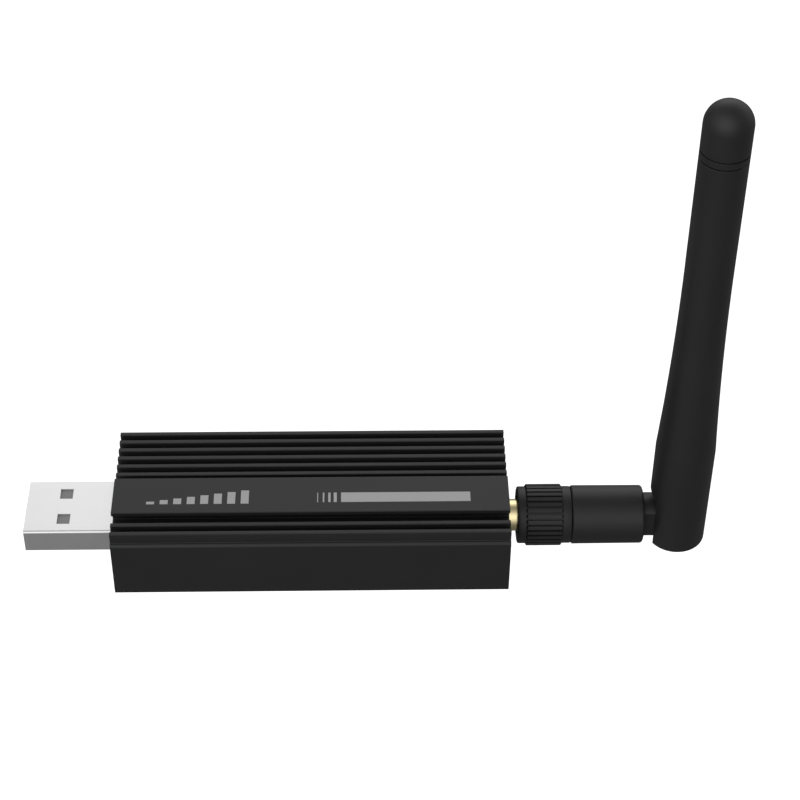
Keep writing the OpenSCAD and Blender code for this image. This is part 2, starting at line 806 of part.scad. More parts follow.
module tip_cap() {
    color("#1f2021") whip_turned(concat(
        [[0, seam_z - spigot_l], [hollow_r - cap_gap - spigot_chamfer, seam_z - spigot_l],
            [hollow_r - cap_gap, seam_z - spigot_l + spigot_chamfer], [hollow_r - cap_gap, seam_z],
            [shaft_r - ring_d, seam_z], [shaft_r, seam_z + ring_d],
            [shaft_r, seam_z + ring_z - ring_d], [shaft_r - ring_d, seam_z + ring_z],
            [shaft_r, seam_z + ring_z + ring_d]],
        [for (i = [0:dome_steps]) let (a = 90 * i / dome_steps)
            [shaft_r * cos(a), whip_l - shaft_r + shaft_r * sin(a)]]));
}

module whip_cable() {
    color("#8a6a3a")
        whip_turned([[0, cable_end], [cable_r, cable_end], [cable_r, brass_top], [0, brass_top]]);
}

module radiator_sleeve() {
    hole_r = cable_r + touch;
    color("#c9a24a") whip_turned([[brass_r - brass_t, hollow_z], [brass_r, hollow_z],
        [brass_r, brass_top], [hole_r, brass_top], [hole_r, brass_top - brass_t],
        [brass_r - brass_t, brass_top - brass_t]]);
}

module radiator_rod() {
    color("#c9a24a") whip_turned([[0, brass_top], [rod_r, brass_top], [rod_r, rod_top], [0, rod_top]]);
}

module rod_spacer() {
    spacer_top = rod_top - spacer_drop;
    color("#d8d8d0") whip_turned([[rod_r + touch, spacer_top - spacer_h],
        [hollow_r - cap_gap, spacer_top - spacer_h], [hollow_r - cap_gap, spacer_top],
        [rod_r + touch, spacer_top]]);
}

housing();
usb_end_plate();
antenna_end_plate();
usb_end_screws();
antenna_end_screws();
usb_shell();
usb_tongue();
usb_contacts();
circuit_board();
radio_chip();
shield_can();
usb_bridge_chip();
voltage_regulator();
clock_crystals();
board_passives();
status_leds();
antenna_jack();
jack_insulator();
jack_contact();
coupling_nut();
nut_ring();
antenna_ferrule();
ferrule_insulator();
antenna_pin();
swivel_base();
feed_cable();
whip_sheath();
tip_cap();
whip_cable();
radiator_sleeve();
radiator_rod();
rod_spacer();
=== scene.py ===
"""Looks of a USB radio stick: finned black housing, bright plug, gilt socket and a tilting whip antenna.

Shapes are drawn in millimetres, in the model's own frame: the origin is the middle of the housing's
underside, +X runs to the antenna, +Y to the back and +Z up. keep() brings each one to metres.
"""

import json
from math import atan2, cos, floor, hypot, pi, radians, sin, tau

import bmesh
import bpy
from mathutils import Matrix, Vector


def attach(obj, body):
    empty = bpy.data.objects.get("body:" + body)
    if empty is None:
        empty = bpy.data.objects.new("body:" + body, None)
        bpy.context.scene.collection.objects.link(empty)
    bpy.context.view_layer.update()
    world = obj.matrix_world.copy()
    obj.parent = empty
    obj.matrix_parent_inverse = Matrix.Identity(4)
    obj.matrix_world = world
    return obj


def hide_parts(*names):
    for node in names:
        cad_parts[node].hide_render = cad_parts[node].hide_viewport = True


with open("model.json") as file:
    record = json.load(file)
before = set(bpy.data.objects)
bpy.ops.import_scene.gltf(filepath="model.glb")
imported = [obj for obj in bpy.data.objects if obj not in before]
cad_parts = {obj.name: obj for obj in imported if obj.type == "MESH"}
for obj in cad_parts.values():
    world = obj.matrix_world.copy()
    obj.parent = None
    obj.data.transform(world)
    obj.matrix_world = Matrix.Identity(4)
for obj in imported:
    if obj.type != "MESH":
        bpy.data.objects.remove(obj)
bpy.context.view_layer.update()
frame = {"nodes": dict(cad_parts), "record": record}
nodes = frame["nodes"]
scene = bpy.context.scene

MM = 0.001

# Housing section: fins stand in rows from its middle, and the land takes the place of four of them
END_X = 32.5
FIN_PITCH = 1.967
FIN_T = 0.82
FIN_ROWS = (6, 5, 4, 3, 2, 1, -5, -6)
FIN_TOP = 12.9
GROOVE_Z = 10.8
LEDGE_Z = 11.0
LEDGE_CUT = 0.39
LOWER_W = 12.852
UPPER_W = 12.212
LAND_Y = -3.934
LAND_W = 8.17
LAND_TOP = 13.68
STEM_W = 4.97
EDGE_R = 0.12
EDGE_CUT = 0.07

# Seats of the end plates, and the hollow behind them
SEAT_W = 11.952
SEAT_Z = (0.9, 10.0)
SEAT_R = 0.8
SEAT_D = 1.2
HOLLOW_W = 11.352
HOLLOW_Z = (1.4, 9.5)

# Plug
MOUTH_X = -47.6
PLUG_BACK_X = -28.0
PLUG_W = 12.0
PLUG_Z = (2.95, 7.45)
PLUG_R = 0.4
SHEET_T = 0.3
WINDOW_X = (-42.27, -40.17)
WINDOW_Y = (1.8, 4.1)
SEAM_W = 0.08
SEAM_D = 0.06

# Antenna: its axis, the socket, the nut and the whip
AXIS_Y = -0.6
AXIS_Z = 5.2
HINGE_X = 61.32
PLATE_X = 31.3
FLANGE_W = 6.3
FLANGE_T = 1.6
NECK_R = 2.67
NECK_END_X = 34.5
SOCKET_END_X = 40.5
THREAD_R = 3.175
THREAD_ROOT_R = 2.79
THREAD_PITCH = 0.7056
MATE_X = 38.6
MATE_R = 2.3
CORE_R = 2.05
NUT_X = (34.3, 43.2)
NUT_R = 4.78
NUT_BORE_R = 3.23
NUT_BACK_R = 2.75
RING_SEAT = (41.55, 42.15, 3.5)
RIB_X = (35.6, 41.8)
RIB_R = 5.16
RIBS = 32
SHAFT_R = 3.78
SEAM_Z = (78.5, 78.7)
RING_Z = (79.72, 80.0)
TIP_Z = 88.0
GROOVE_D = 0.22
SPIGOT_R = 2.46
SPIGOT_Z = 74.5

# Print on the land: bars at the left, ticks and a field at the right
INK_T = 0.015
INK_SUNK = 0.005
BAR_X = -26.9
BAR_PITCH = 2.2
BAR_W = 1.3
BAR_Y = (-6.0, -5.4)
BAR_RISE = 0.35
BARS = 8
TICK_X = 1.0
TICK_PITCH = 0.9
TICK_W = 0.14
TICK_GROWTH = 0.12
TICKS = 4
FIELD_X = (4.9, 26.1)
FIELD_Y = (-5.8, -3.6)

# Low enough for the whip to hang below the stick when its foot is turned over
FLOOR_Z = -85.0
FLOOR_HALF_M = 3.0

# Studio: light from everywhere, and soft lights as (bearing, height, strength, focus).
# Bearing 0 is the back and 90 is +X.
AMBIENT = 0.105
SOFT_LIGHTS = ((180, 27, 0.57, 5.0), (215, 27, 1.08, 5.0), (270, 30, 0.32, 8.0),
               (0, 33, 1.14, 8.5), (35, 28, 0.35, 8.5), (70, 22, 0.45, 7.0),
               (270, -15, 0.09, 4.0), (90, -15, 0.04, 4.0))

# Camera: lens and sensor in mm, place in mm, and turns in degrees
LENS = 96.10
SENSOR = 36
CAMERA_AT = (7.828, -254.187, 259.516)
YAW, PITCH, ROLL = 1.505, 41.972, 0.613


class Value:
    """The output of a shader node. Arithmetic on it adds Math nodes."""

    def __init__(self, tree, socket):
        self.tree = tree
        self.socket = socket

    def math(self, operation, *others):
        inputs = dict(enumerate((self, *others)))
        return self.tree.add("Math", inputs, operation=operation)

    def __add__(self, other):
        return self.math("ADD", other)

    def __sub__(self, other):
        return self.math("SUBTRACT", other)

    def __mul__(self, other):
        return self.math("MULTIPLY", other)

    def __rsub__(self, other):
        return self.tree.add("Math", {0: other, 1: self}, operation="SUBTRACT")

    __radd__ = __add__
    __rmul__ = __mul__


class Tree:
    """A node tree that grows by calls."""

    def __init__(self, tree):
        self.tree = tree

    def add(self, kind, inputs=None, output=0, stops=None, **settings):
        node = self.tree.nodes.new("ShaderNode" + kind)
        for name, setting in settings.items():
            setattr(node, name, setting)
        if stops:
            ramp = node.color_ramp.elements
            while len(ramp) < len(stops):
                ramp.new(1)
            for element, (place, grey) in zip(ramp, stops):
                element.position = place
                element.color = (grey, grey, grey, 1)
        for name, value in (inputs or {}).items():
            self.feed(node.inputs[name], value)
        return Value(self, node.outputs[output])

    def feed(self, socket, value):
        if isinstance(value, Value):
            self.tree.links.new(value.socket, socket)
        else:
            socket.default_value = value


class Finish(Tree):
    """A procedural material round one Principled shader, patterned in the piece's own millimetres."""

    def __init__(self, name, **shader):
        self.material = bpy.data.materials.new(name)
        self.material.use_nodes = True
        super().__init__(self.material.node_tree)
        self.shader = self.tree.nodes["Principled BSDF"]
        for socket, value in shader.items():
            self.shader.inputs[socket.replace("_", " ")].default_value = value
        self.place = self.add("TexCoord", output="Object")

    def noise(self, size, stretch=(1, 1, 1), detail=2.0, roughness=0.5):
        """Noise whose patches are about size millimetres, drawn out along an axis by stretch."""
        scale = [1 / (MM * size * s) for s in stretch]
        spread = self.add("Mapping", {"Vector": self.place, "Scale": scale})
        return self.add("TexNoise", {"Vector": spread, "Scale": 1.0, "Detail": detail, "Roughness": roughness})

    def ramp(self, value, *stops):
        return self.add("ValToRGB", {"Fac": value}, stops=stops)

    def blend(self, mask, first, second):
        """Colour going from first to second as mask goes from 0 to 1."""
        return self.add("Mix", {0: mask, 6: (*first, 1), 7: (*second, 1)}, output=2, data_type="RGBA")

    def colour(self, value):
        self.feed(self.shader.inputs["Base Color"], value)

    def roughness(self, value):
        self.feed(self.shader.inputs["Roughness"], value)

    def bump(self, height, depth, strength=1.0):
        """Relief of the given depth in millimetres."""
        relief = self.add("Bump", {"Height": height, "Distance": MM * depth, "Strength": strength})
        self.feed(self.shader.inputs["Normal"], relief)


def anodised_black():
    """Bead-blasted and black anodised aluminium, with the faint lines of its extrusion."""
    finish = Finish("anodised_black", Specular_IOR_Level=0.40)
    grain = finish.noise(0.12, detail=3)
    drawn = finish.noise(0.35, stretch=(60, 1, 1), detail=3)
    cloud = finish.noise(9.0, detail=2)
    finish.colour(finish.blend(cloud, (0.0155, 0.0157, 0.0162), (0.0190, 0.0190, 0.0195)))
    finish.roughness(0.36 + 0.06 * grain + 0.05 * cloud)
    finish.bump(0.6 * grain + 0.7 * drawn, 0.004)
    return finish


def plate_black():
    """Anodised sheet, brushed across."""
    finish = Finish("plate_black", Specular_IOR_Level=0.5)
    brushed = finish.noise(0.10, stretch=(1, 30, 1), detail=3)
    cloud = finish.noise(5.0)
    finish.colour(finish.blend(cloud, (0.010, 0.010, 0.0105), (0.016, 0.016, 0.0165)))
    finish.roughness(0.32 + 0.14 * brushed)
    finish.bump(brushed, 0.003)
    return finish


def screw_black():
    """Black oxide on steel, worn a little brighter in patches."""
    finish = Finish("screw_black", Metallic=0.6)
    wear = finish.ramp(finish.noise(0.5, detail=4), (0.45, 0.0), (0.75, 1.0))
    finish.colour(finish.blend(wear, (0.020, 0.020, 0.022), (0.075, 0.074, 0.072)))
    finish.roughness(0.42 - 0.12 * wear)
    finish.bump(finish.noise(0.08), 0.001)
    return finish


def plug_steel():
    """Nickel-plated sheet steel, rolled along the plug."""
    finish = Finish("plug_steel", Metallic=0.93)
    rolled = finish.noise(0.09, stretch=(40, 1, 1), detail=3)
    cloud = finish.noise(3.5, detail=3)
    finish.colour(finish.blend(cloud, (0.86, 0.86, 0.865), (0.90, 0.90, 0.90)))
    finish.roughness(0.27 + 0.06 * rolled + 0.05 * cloud)
    finish.bump(rolled, 0.0007)
    return finish


def gold_plate():
    """Thin gold over nickel on turned brass."""
    finish = Finish("gold_plate", Metallic=1.0)
    turned = finish.noise(0.06, stretch=(1, 8, 8), detail=2)
    cloud = finish.noise(1.6)
    finish.colour(finish.blend(cloud, (1.0, 0.84, 0.46), (1.0, 0.90, 0.56)))
    finish.roughness(0.10 + 0.10 * turned)
    finish.bump(turned, 0.0015)
    return finish


def moulded_black(name, base, rough, grain_mm, relief):
    """Black moulded plastic or rubber with a fine spark-eroded grain."""
    finish = Finish(name, Specular_IOR_Level=0.40)
    grain = finish.noise(grain_mm, detail=3)
    cloud = finish.noise(11.0)
    finish.colour(finish.blend(cloud, [0.85 * base] * 3, [1.15 * base] * 3))
    finish.roughness(rough - 0.03 + 0.06 * grain)
    finish.bump(grain, relief)
    return finish


def plain_finish(name, first, second, rough, size=0.6, metallic=0.0, relief=0.003):
    """A finish of two near shades, for pieces that hardly show."""
    finish = Finish(name, Metallic=metallic)
    patches = finish.noise(size, detail=3)
    finish.colour(finish.blend(patches, first, second))
    finish.roughness(rough - 0.05 + 0.10 * patches)
    finish.bump(finish.noise(size / 4), relief)
    return finish


def board_laminate():
    """Green solder mask with copper runs and plated holes under it."""
    finish = Finish("board_laminate", Coat_Weight=0.4, Coat_Roughness=0.12)
    spread = finish.add("Mapping", {"Vector": finish.place, "Scale": (1 / (MM * 2.4),) * 3})
    holes = finish.add("TexVoronoi", {"Vector": spread, "Scale": 1.0}, output="Distance")
    runs = finish.ramp(finish.noise(2.2, stretch=(3, 1, 1), detail=0), (0.47, 0.0), (0.50, 1.0), (0.53, 0.0))
    ring = finish.ramp(holes, (0.07, 1.0), (0.10, 0.0))
    mask = finish.blend(runs, (0.006, 0.040, 0.014), (0.016, 0.085, 0.030))
    finish.colour(finish.add("Mix", {0: ring, 6: mask, 7: (0.60, 0.46, 0.20, 1)}, output=2, data_type="RGBA"))
    finish.roughness(0.38 + 0.10 * finish.noise(0.5))
    finish.bump(runs + ring, 0.02)
    return finish


FINISHES = {
    "anodised_case": anodised_black(),
    "plate_black": plate_black(),
    "screw_black": screw_black(),
    "plug_steel": plug_steel(),
    "plug_plastic": plain_finish("plug_plastic", (0.26, 0.26, 0.265), (0.30, 0.30, 0.30), 0.45),
    "gold_plate": gold_plate(),
    "board_laminate": board_laminate(),
    "chip_black": plain_finish("chip_black", (0.012, 0.012, 0.013), (0.022, 0.022, 0.023), 0.50, size=0.3),
    "can_steel": plain_finish("can_steel", (0.66, 0.66, 0.65), (0.74, 0.74, 0.73), 0.32, metallic=0.95),
    "ceramic_tan": plain_finish("ceramic_tan", (0.30, 0.20, 0.11), (0.42, 0.31, 0.19), 0.45),
    "lamp_clear": plain_finish("lamp_clear", (0.72, 0.74, 0.58), (0.84, 0.85, 0.72), 0.22),
    "white_insulator": plain_finish("white_insulator", (0.82, 0.81, 0.77), (0.88, 0.87, 0.84), 0.42),
    "nut_black": moulded_black("nut_black", 0.018, 0.42, 0.10, 0.003),
    "brass_plain": plain_finish("brass_plain", (0.68, 0.48, 0.19), (0.78, 0.58, 0.27), 0.30, metallic=0.98),
    "antenna_plastic": moulded_black("antenna_plastic", 0.017, 0.42, 0.16, 0.004),
    "whip_rubber": moulded_black("whip_rubber", 0.017, 0.42, 0.18, 0.005),
    "cable_jacket": plain_finish("cable_jacket", (0.22, 0.10, 0.045), (0.30, 0.15, 0.07), 0.30),
    "foam_grey": plain_finish("foam_grey", (0.42, 0.42, 0.41), (0.58, 0.58, 0.56), 0.90, size=0.25, relief=0.05),
    "label_ink": plain_finish("label_ink", (0.45, 0.45, 0.45), (0.51, 0.51, 0.51), 0.50, size=0.2),
}


def outline(bm, corners, x=0.0, radius=0.0, segments=3):
    """Edges of a closed outline through (y, z) corners in the plane at x, with its corners rounded."""
    loop = [bm.verts.new((x, y, z)) for y, z in corners]
    face = bm.faces.new(loop)
    if radius:
        bmesh.ops.bevel(bm, geom=loop, offset=radius, offset_type="OFFSET", segments=segments,
                        profile=0.5, affect="VERTICES", material=-1)
        face = max((f for f in bm.faces if all(abs(v.co.x - x) < 1e-4 for v in f.verts)),
                   key=lambda f: len(f.verts))
    edges = list(face.edges)
    bmesh.ops.delete(bm, geom=[face], context="FACES_ONLY")
    return edges


def rectangle(half_w, low, high):
    return [(-half_w, low), (half_w, low), (half_w, high), (-half_w, high)]


def draw_out(bm, edges, dx):
    """Walls drawn from edges along X, and their far edges."""
    made = bmesh.ops.extrude_edge_only(bm, edges=edges)["geom"]
    far = [v for v in made if isinstance(v, bmesh.types.BMVert)]
    bmesh.ops.translate(bm, vec=(dx, 0, 0), verts=far)
    ends = set(far)
    return [e for e in made if isinstance(e, bmesh.types.BMEdge) and set(e.verts) <= ends]


def turned(bm, profile, steps=128, axis="X"):
    """Turned shape from (station, radius) points: on the socket's axis, or upright on the whip's."""
    if axis == "X":
        points = [(x, AXIS_Y, AXIS_Z + r) for x, r in profile]
        turn, through = (1, 0, 0), (0, AXIS_Y, AXIS_Z)
    else:
        points = [(HINGE_X + r, AXIS_Y, z) for z, r in profile]
        turn, through = (0, 0, 1), (HINGE_X, AXIS_Y, 0)
    line = [bm.verts.new(p) for p in points]
    rim = [bm.edges.new(pair) for pair in zip(line, line[1:])]
    bmesh.ops.spin(bm, geom=line + rim, cent=through, axis=turn, angle=tau, steps=steps, use_merge=True)
    bmesh.ops.remove_doubles(bm, verts=bm.verts, dist=1e-5)
    bmesh.ops.recalc_face_normals(bm, faces=bm.faces)


def rounded_step(centre, radius, start, stop, count):
    """(station, radius) points on an arc, angles in degrees from the station axis."""
    angles = [radians(start + (stop - start) * i / count) for i in range(count + 1)]
    return [(centre[0] + radius * cos(a), centre[1] + radius * sin(a)) for a in angles]


def keep(bm, name, body, slot, *replaced, crease=32):
    """Finished piece from a mesh in millimetres."""
    bmesh.ops.scale(bm, vec=(MM, MM, MM), verts=bm.verts)
    for face in bm.faces:
        face.smooth = True
    mesh = bpy.data.meshes.new(name)
    bm.to_mesh(mesh)
    bm.free()
    mesh.set_sharp_from_angle(angle=radians(crease))
    mesh.materials.append(FINISHES[slot].material)
    piece = bpy.data.objects.new(name, mesh)
    scene.collection.objects.link(piece)
    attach(piece, body)
    if replaced:
        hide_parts(*replaced)
    return piece


def even_shading(piece):
    shading = piece.modifiers.new("even_shading", "WEIGHTED_NORMAL")
    shading.keep_sharp = True
    return piece


def housing_corners():
    """(y, z) corners of the extrusion, once round from its lower front corner."""
    ledge = [(LOWER_W, LEDGE_Z - LEDGE_CUT), (LOWER_W - LEDGE_CUT, LEDGE_Z), (UPPER_W, LEDGE_Z)]
    corners = [(-LOWER_W, 0), (LOWER_W, 0), *ledge]
    land = [(LAND_Y + STEM_W / 2, GROOVE_Z), (LAND_Y + STEM_W / 2, FIN_TOP),
            (LAND_Y + LAND_W / 2, FIN_TOP), (LAND_Y + LAND_W / 2, LAND_TOP),
            (LAND_Y - LAND_W / 2, LAND_TOP), (LAND_Y - LAND_W / 2, FIN_TOP),
            (LAND_Y - STEM_W / 2, FIN_TOP), (LAND_Y - STEM_W / 2, GROOVE_Z)]
    for row in FIN_ROWS:
        back, front = row * FIN_PITCH + FIN_T / 2, row * FIN_PITCH - FIN_T / 2
        fin = [(back, GROOVE_Z), (back, FIN_TOP), (front, FIN_TOP), (front, GROOVE_Z)]
        if row == FIN_ROWS[0]:
            fin = fin[1:]
        if row == FIN_ROWS[-1]:
            fin = fin[:-1]
        corners += fin
        if row == 1:
            corners += land
    return corners + [(-y, z) for y, z in reversed(ledge)]


def make_housing():
    bm = bmesh.new()
    reach = END_X - EDGE_CUT
    start = outline(bm, housing_corners(), x=-reach, radius=EDGE_R, segments=3)
    rims = {-1: start, 1: draw_out(bm, start, 2 * reach)}
    hollows = []
    for side, rim in rims.items():
        seat = outline(bm, rectangle(SEAT_W, *SEAT_Z), x=side * reach, radius=SEAT_R, segments=8)
        cap = bmesh.ops.triangle_fill(bm, edges=rim + seat, use_beauty=True, use_dissolve=False)["geom"]
        cap = [f for f in cap if isinstance(f, bmesh.types.BMFace)]
        seat_floor = draw_out(bm, seat, side * (EDGE_CUT - SEAT_D))
        hollow = outline(bm, rectangle(HOLLOW_W, *HOLLOW_Z), x=side * (END_X - SEAT_D))
        bmesh.ops.triangle_fill(bm, edges=seat_floor + hollow, use_beauty=True)
        hollows += hollow
        bmesh.ops.recalc_face_normals(bm, faces=cap)
        bmesh.ops.inset_region(bm, faces=cap, thickness=EDGE_CUT, use_even_offset=True, use_boundary=True)
        bmesh.ops.translate(bm, vec=(side * EDGE_CUT, 0, 0), verts=list({v for f in cap for v in f.verts}))
    bmesh.ops.bridge_loops(bm, edges=hollows)
    bmesh.ops.recalc_face_normals(bm, faces=bm.faces)
    even_shading(keep(bm, "finned_housing", "stick", "anodised_case", "housing"))


def make_plug_shell():
    """Folded sheet with two latch windows above and below, and its closed seam along the underside."""
    bm = bmesh.new()
    mouth = outline(bm, rectangle(PLUG_W / 2, *PLUG_Z), x=MOUTH_X, radius=PLUG_R, segments=6)
    draw_out(bm, mouth, PLUG_BACK_X - MOUTH_X)
    cuts = [((x, 0, 0), (1, 0, 0)) for x in WINDOW_X]
    cuts += [((0, side * y, 0), (0, 1, 0)) for side in (-1, 1) for y in (*WINDOW_Y, SEAM_W / 2)]
    cuts.append(((0, 0, 0), (0, 1, 0)))
    for point, normal in cuts:
        bmesh.ops.bisect_plane(bm, geom=bm.verts[:] + bm.edges[:] + bm.faces[:],
                               plane_co=point, plane_no=normal)
    bmesh.ops.recalc_face_normals(bm, faces=bm.faces)
    windows = []
    for face in bm.faces:
        x, y, z = face.calc_center_median()
        if WINDOW_X[0] < x < WINDOW_X[1] and WINDOW_Y[0] < abs(y) < WINDOW_Y[1]:
            windows.append(face)
    bmesh.ops.delete(bm, geom=windows, context="FACES")
    seam = [v for v in bm.verts if abs(v.co.y) < 1e-4 and v.co.z < AXIS_Z]
    bmesh.ops.translate(bm, vec=(0, 0, SEAM_D), verts=seam)
    piece = keep(bm, "plug_shell", "stick", "plug_steel", "usb_shell", crease=50)
    sheet = piece.modifiers.new("sheet", "SOLIDIFY")
    sheet.thickness = SHEET_T * MM
    sheet.offset = -1
    edges = piece.modifiers.new("rolled_edges", "BEVEL")
    edges.width = 0.07 * MM
    edges.segments = 2
    edges.limit_method = "ANGLE"
    edges.angle_limit = radians(50)
    even_shading(piece)


def thread_turns(bm, x0, x1):
    """Ridge of the socket's thread, wound from x0 to x1."""
    flank, crest = 0.32 * THREAD_PITCH, 0.07 * THREAD_PITCH
    steps = round((x1 - x0) / THREAD_PITCH * 64)
    section = [(x0 - flank, THREAD_ROOT_R - 0.05), (x0 - crest, THREAD_R - 0.02),
               (x0 + crest, THREAD_R - 0.02), (x0 + flank, THREAD_ROOT_R - 0.05)]
    face = bm.faces.new([bm.verts.new((x, AXIS_Y, AXIS_Z + r)) for x, r in section])
    bmesh.ops.spin(bm, geom=face.verts[:] + face.edges[:] + [face], cent=(0, AXIS_Y, AXIS_Z), axis=(1, 0, 0),
                   angle=tau * (x1 - x0) / THREAD_PITCH, dvec=((x1 - x0) / steps, 0, 0), steps=steps)


def box(bm, low, high):
    """Block from its lowest to its highest corner."""
    made = bmesh.ops.create_cube(bm, size=1)["verts"]
    size = [b - a for a, b in zip(low, high)]
    bmesh.ops.scale(bm, vec=size, verts=made)
    bmesh.ops.translate(bm, vec=[(a + b) / 2 for a, b in zip(low, high)], verts=made)


def make_socket():
    bm = bmesh.new()
    turned(bm, [(PLATE_X - FLANGE_T + 0.3, CORE_R), (PLATE_X - FLANGE_T + 0.3, NECK_R), (NECK_END_X - 0.1, NECK_R),
                (NECK_END_X, THREAD_ROOT_R), (SOCKET_END_X - 0.35, THREAD_ROOT_R),
                (SOCKET_END_X - 0.08, THREAD_ROOT_R - 0.05), (SOCKET_END_X, THREAD_ROOT_R - 0.13),
                (SOCKET_END_X, MATE_R + 0.08), (SOCKET_END_X - 0.08, MATE_R), (MATE_X, MATE_R),
                (MATE_X, CORE_R), (PLATE_X - FLANGE_T + 0.3, CORE_R)], steps=96)
    thread_turns(bm, NECK_END_X + 0.45, SOCKET_END_X - 0.45)
    half = FLANGE_W / 2
    box(bm, (PLATE_X - FLANGE_T, AXIS_Y - half, AXIS_Z - half), (PLATE_X - 0.02, AXIS_Y + half, AXIS_Z + half))
    bmesh.ops.recalc_face_normals(bm, faces=bm.faces)
    even_shading(keep(bm, "gilt_socket", "stick", "gold_plate", "antenna_jack"))


def make_nut():
    """Nut with flat-topped grip ribs between two plain ends."""
    edge = 0.25
    bore = []
    x = NUT_X[0] + edge
    while x + THREAD_PITCH < RING_SEAT[0] - 0.3:
        bore += [(x, NUT_BORE_R), (x + THREAD_PITCH / 2, NUT_BORE_R + 0.3)]
        x += THREAD_PITCH
    bore.append((x, NUT_BORE_R))
    bm = bmesh.new()
    profile = [(NUT_X[0], NUT_BORE_R + edge), (NUT_X[0], NUT_R - edge), (NUT_X[0] + 0.07, NUT_R - 0.07),
               (NUT_X[0] + edge, NUT_R), (RIB_X[0], NUT_R), (RIB_X[1], NUT_R), (NUT_X[1] - 0.15, NUT_R),
               (NUT_X[1] - 0.04, NUT_R - 0.04), (NUT_X[1], NUT_R - 0.15), (NUT_X[1], NUT_BACK_R),
               (RING_SEAT[1], NUT_BACK_R), (RING_SEAT[1], RING_SEAT[2]), (RING_SEAT[0], RING_SEAT[2]),
               (RING_SEAT[0], NUT_BORE_R)]
    turned(bm, profile + bore[::-1] + [profile[0]], steps=3 * RIBS)
    step = tau / (3 * RIBS)
    ribs = []
    for face in bm.faces:
        x, y, z = face.calc_center_median()
        r, turn = hypot(y - AXIS_Y, z - AXIS_Z), atan2(y - AXIS_Y, z - AXIS_Z)
        if RIB_X[0] < x < RIB_X[1] and r > NUT_R - 0.05 and floor(turn / step) % 3:
            ribs.append(face)
    raised = bmesh.ops.extrude_face_region(bm, geom=ribs)["geom"]
    raised = [v for v in raised if isinstance(v, bmesh.types.BMVert)]
    middle = Matrix.Translation((-sum(RIB_X) / 2, -AXIS_Y, -AXIS_Z))
    taper = (RIB_X[1] - RIB_X[0] - 2 * edge) / (RIB_X[1] - RIB_X[0])
    bmesh.ops.scale(bm, vec=(taper, RIB_R / NUT_R, RIB_R / NUT_R), space=middle, verts=raised)
    bmesh.ops.delete(bm, geom=[f for f in ribs if f.is_valid], context="FACES_ONLY")
    bmesh.ops.recalc_face_normals(bm, faces=bm.faces)
    tops = set(raised)
    rims = [e for e in bm.edges if set(e.verts) <= tops and e.calc_face_angle(0) > radians(30)]
    bmesh.ops.bevel(bm, geom=rims, offset=0.05, offset_type="OFFSET", segments=2,
                    profile=0.5, affect="EDGES", material=-1)
    even_shading(keep(bm, "ribbed_nut", "nut", "nut_black", "coupling_nut", crease=40))


def make_tip():
    """Domed cap with its ring groove and the seam to the sheath."""
    edge = 0.03
    inner, outer = SHAFT_R - GROOVE_D, SHAFT_R
    bm = bmesh.new()
    dome = rounded_step((TIP_Z - SHAFT_R, 0), SHAFT_R, 90, 0, 24)
    turned(bm, [(SPIGOT_Z, 0), (SPIGOT_Z, SPIGOT_R - 0.3), (SPIGOT_Z + 0.3, SPIGOT_R), (SEAM_Z[0], SPIGOT_R),
                (SEAM_Z[0], inner), (SEAM_Z[1], inner), (SEAM_Z[1], outer - edge), (SEAM_Z[1] + edge, outer),
                (RING_Z[0] - edge, outer), (RING_Z[0], outer - edge), (RING_Z[0], inner), (RING_Z[1], inner),
                (RING_Z[1], outer - edge), (RING_Z[1] + edge, outer)] + dome, axis="Z")
    even_shading(keep(bm, "domed_tip", "whip", "whip_rubber", "tip_cap", crease=40))


def make_refined(node, name, body, slot, width, crease=35, top=TIP_Z, flank=0.0):
    """The model's own shape with its triangles joined and its sharp edges below top eased.

    Its long straight edges are first rounded by flank.
    """
    bm = bmesh.new()
    bm.from_mesh(nodes[node].data)
    bmesh.ops.scale(bm, vec=(1 / MM,) * 3, verts=bm.verts)
    bmesh.ops.remove_doubles(bm, verts=bm.verts, dist=1e-4)
    bmesh.ops.dissolve_limit(bm, angle_limit=radians(0.4), verts=bm.verts, edges=bm.edges)
    if flank:
        straight = [e for e in bm.edges
                    if e.is_convex and e.calc_length() > 5 and e.calc_face_angle(0) > radians(crease)]
        bmesh.ops.bevel(bm, geom=straight, offset=flank, offset_type="OFFSET", segments=6, profile=0.5,
                        affect="EDGES", clamp_overlap=True, material=-1)
    sharp = [e for e in bm.edges if e.is_manifold and e.calc_face_angle(0) > radians(crease)
             and min(v.co.z for v in e.verts) < top - 0.01]
    bmesh.ops.bevel(bm, geom=sharp, offset=width, offset_type="OFFSET", segments=2, profile=0.5,
                    affect="EDGES", clamp_overlap=True, material=-1)
    even_shading(keep(bm, name, body, slot, node, crease=crease))


def make_print():
    """Plain marks: a rising row of bars at the left, and a light field with four ticks at the right."""
    bm = bmesh.new()
    base, top = LAND_TOP - INK_SUNK, LAND_TOP + INK_T
    for i in range(BARS):
        x = BAR_X + BAR_PITCH * i
        box(bm, (x, BAR_Y[0], base), (x + BAR_W, BAR_Y[1] + BAR_RISE * i, top))
    for i in range(TICKS):
        x = TICK_X + TICK_PITCH * i
        box(bm, (x, FIELD_Y[0], base), (x + TICK_W + TICK_GROWTH * i, FIELD_Y[1], top))
    box(bm, (FIELD_X[0], FIELD_Y[0], base), (FIELD_X[1], FIELD_Y[1], top))
    keep(bm, "land_print", "stick", "label_ink")


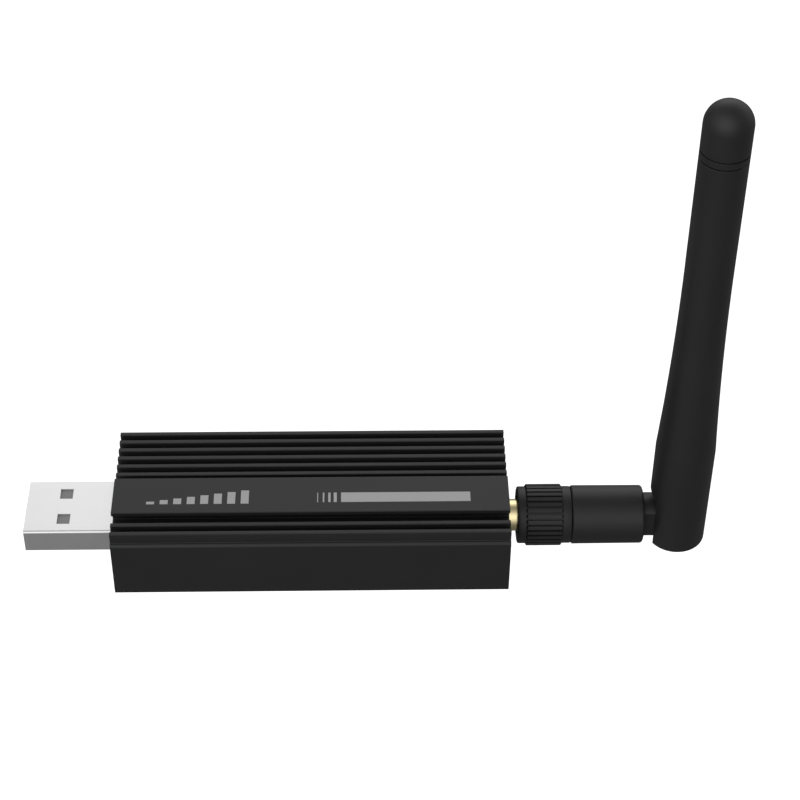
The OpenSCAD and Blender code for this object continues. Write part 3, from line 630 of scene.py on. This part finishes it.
make_housing()
make_plug_shell()
make_socket()
make_nut()
make_tip()
make_refined("swivel_base", "swivel_foot", "foot", "antenna_plastic", 0.08, flank=0.6)
make_refined("whip_sheath", "whip_cover", "whip", "whip_rubber", 0.08, top=SEAM_Z[0])
make_refined("usb_end_plate", "plug_end_plate", "stick", "plate_black", 0.06)
make_refined("antenna_end_plate", "socket_end_plate", "stick", "plate_black", 0.06)
make_refined("usb_end_screws", "plug_end_screws", "stick", "screw_black", 0.05)
make_refined("antenna_end_screws", "socket_end_screws", "stick", "screw_black", 0.05)
make_print()

for part in frame["record"]["subparts"]:
    node = nodes[part["node"]]
    node.data.materials.clear()
    node.data.materials.append(FINISHES[part["material_slot"]].material)


def studio_world():
    """Large soft lights in a dim room, white where the camera sees it."""
    world = bpy.data.worlds.new("studio")
    world.use_nodes = True
    scene.world = world
    tree = Tree(world.node_tree)
    way = tree.add("TexCoord", output="Generated")

    def soft_light(bearing, height, strength, focus):
        bearing, height = radians(bearing), radians(height)
        aim = (cos(height) * sin(bearing), cos(height) * cos(bearing), sin(height))
        along = tree.add("VectorMath", {0: way, 1: aim}, output="Value", operation="DOT_PRODUCT")
        return strength * (focus * (along - 1.0)).math("EXPONENT")

    light = AMBIENT
    for soft in SOFT_LIGHTS:
        light = light + soft_light(*soft)
    seen = tree.add("LightPath", output="Is Camera Ray")
    sky = world.node_tree.nodes["Background"].inputs
    sky["Color"].default_value = (1, 1, 1, 1)
    tree.feed(sky["Strength"], light + seen * (1.0 - light))


def make_floor():
    """Pale paper that adds light from below and shows nothing of itself from underneath."""
    bm = bmesh.new()
    bmesh.ops.create_grid(bm, x_segments=1, y_segments=1, size=FLOOR_HALF_M,
                          matrix=Matrix.Translation((0, 0, MM * FLOOR_Z)))
    mesh = bpy.data.meshes.new("floor")
    bm.to_mesh(mesh)
    bm.free()
    ground = bpy.data.objects.new("floor", mesh)
    scene.collection.objects.link(ground)
    paper = Finish("floor_paper", Roughness=0.9)
    paper.shader.inputs["Base Color"].default_value = (0.30, 0.30, 0.30, 1)
    paper.shader.inputs["Emission Color"].default_value = (1, 1, 1, 1)
    seen = paper.add("LightPath", output="Is Camera Ray")
    paper.feed(paper.shader.inputs["Emission Strength"], 0.2 + 0.80 * seen)
    under = paper.add("NewGeometry", output="Backfacing")
    clear = paper.add("BsdfTransparent")
    both = paper.add("MixShader", {0: under, 1: Value(paper, paper.shader.outputs[0]), 2: clear})
    paper.feed(paper.tree.nodes["Material Output"].inputs["Surface"], both)
    mesh.materials.append(paper.material)
    ground.visible_glossy = False


def make_camera():
    """Camera where the photograph was taken from."""
    lens = bpy.data.cameras.new("camera")
    lens.sensor_width = SENSOR
    lens.lens = LENS
    lens.clip_start = 0.01
    lens.clip_end = 10
    view = bpy.data.objects.new("camera", lens)
    scene.collection.objects.link(view)
    yaw, pitch, roll = radians(YAW), radians(PITCH), radians(ROLL)
    turn = (Matrix.Rotation(-yaw, 4, "Z") @ Matrix.Rotation(pi / 2 - pitch, 4, "X")
            @ Matrix.Rotation(roll, 4, "Z"))
    view.matrix_world = Matrix.Translation(MM * Vector(CAMERA_AT)) @ turn
    scene.camera = view


studio_world()
make_floor()
make_camera()
scene.view_settings.view_transform = "Standard"
